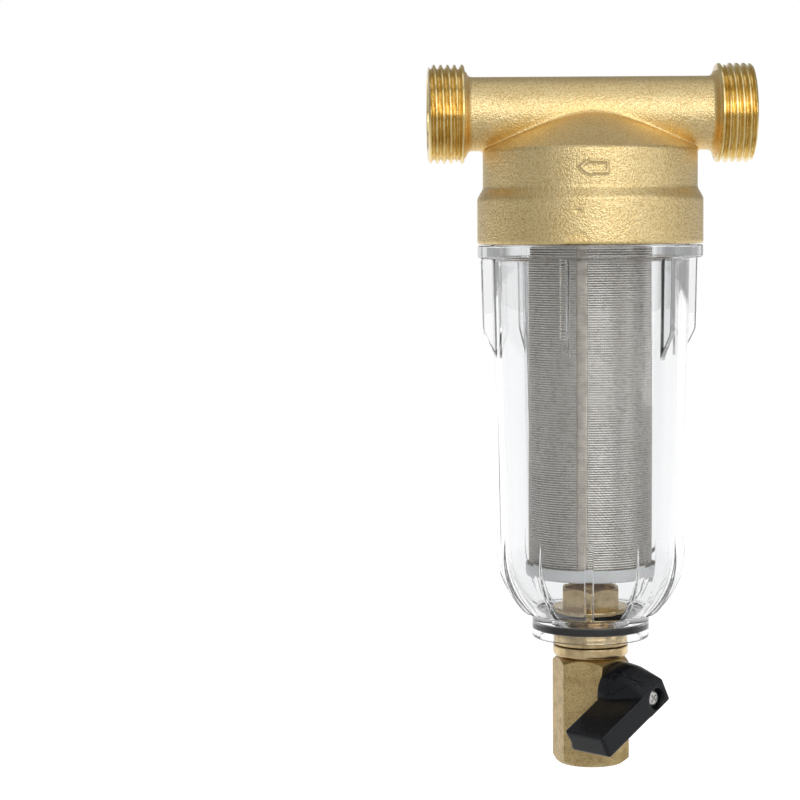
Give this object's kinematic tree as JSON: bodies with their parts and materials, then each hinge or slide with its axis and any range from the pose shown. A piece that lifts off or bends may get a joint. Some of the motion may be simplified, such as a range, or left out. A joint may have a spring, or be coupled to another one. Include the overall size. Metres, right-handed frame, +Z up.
{
  "type": "water pre-filter",
  "caption": "Brass in-line water pre-filter with a screw-on clear bowl, a cylindrical steel screen and a lever-operated drain ball valve.",
  "frame": {"origin": "where the pipe axis crosses the bowl axis, inside the head", "axes": "+Z up along the bowl axis, +X along the pipe towards the inlet port, -Y the front"},
  "size_m": [0.1092, 0.0782, 0.2372],
  "materials": {
    "cast_brass": "sandblasted casting",
    "turned_brass": "machined",
    "forged_brass": "bead blasted",
    "clear_plastic": "clear moulded",
    "woven_steel": "woven wire",
    "stainless_steel": "satin",
    "chrome": "polished plating",
    "white_plastic": "translucent moulded",
    "black_rubber": "moulded",
    "seal_plastic": "waxy",
    "black_plastic": "satin moulded"
  },
  "bodies": {
    "head": {"head_casting": "cast_brass"},
    "screen_cartridge": {"bowl_gasket": "black_rubber", "screen_top_collar": "white_plastic", "screen_top_oring": "black_rubber", "screen_mesh": "woven_steel", "screen_support": "stainless_steel", "screen_bottom_cap": "white_plastic"},
    "bowl": {"clear_bowl": "clear_plastic", "drain_locknut": "turned_brass", "locknut_washer": "black_rubber", "neck_gasket": "black_rubber", "drain_spigot": "turned_brass", "valve_lock_ring": "turned_brass", "valve_body": "forged_brass", "valve_seat_upper": "seal_plastic", "valve_seat_lower": "seal_plastic", "ball_retainer": "turned_brass", "stem_thrust_washer": "seal_plastic"},
    "valve_handle": {"valve_ball": "chrome", "valve_stem": "turned_brass", "stem_oring": "black_rubber", "handle_lever": "black_plastic", "handle_screw": "stainless_steel", "handle_screw_washer": "stainless_steel"}
  },
  "joints": [
    {"name": "bowl_drop", "type": "slide", "parent": "head", "child": "screen_cartridge", "axis": [0, 0, -1], "range_m": [0, 0.01001]},
    {"name": "bowl_unscrew", "type": "hinge", "parent": "screen_cartridge", "child": "bowl", "pos_m": [0, 0, 0], "axis": [0, 0, -1], "range_deg": [0, 900]},
    {"name": "valve_turn", "type": "hinge", "parent": "bowl", "child": "valve_handle", "pos_m": [0, 0, -0.195], "axis": [0.6626, -0.749, 0], "range_deg": [-30, 60]}
  ],
  "couplings": [
    {"joint": "bowl_drop", "follows": "bowl_unscrew", "m_per_rad": 0.00063662}
  ]
}
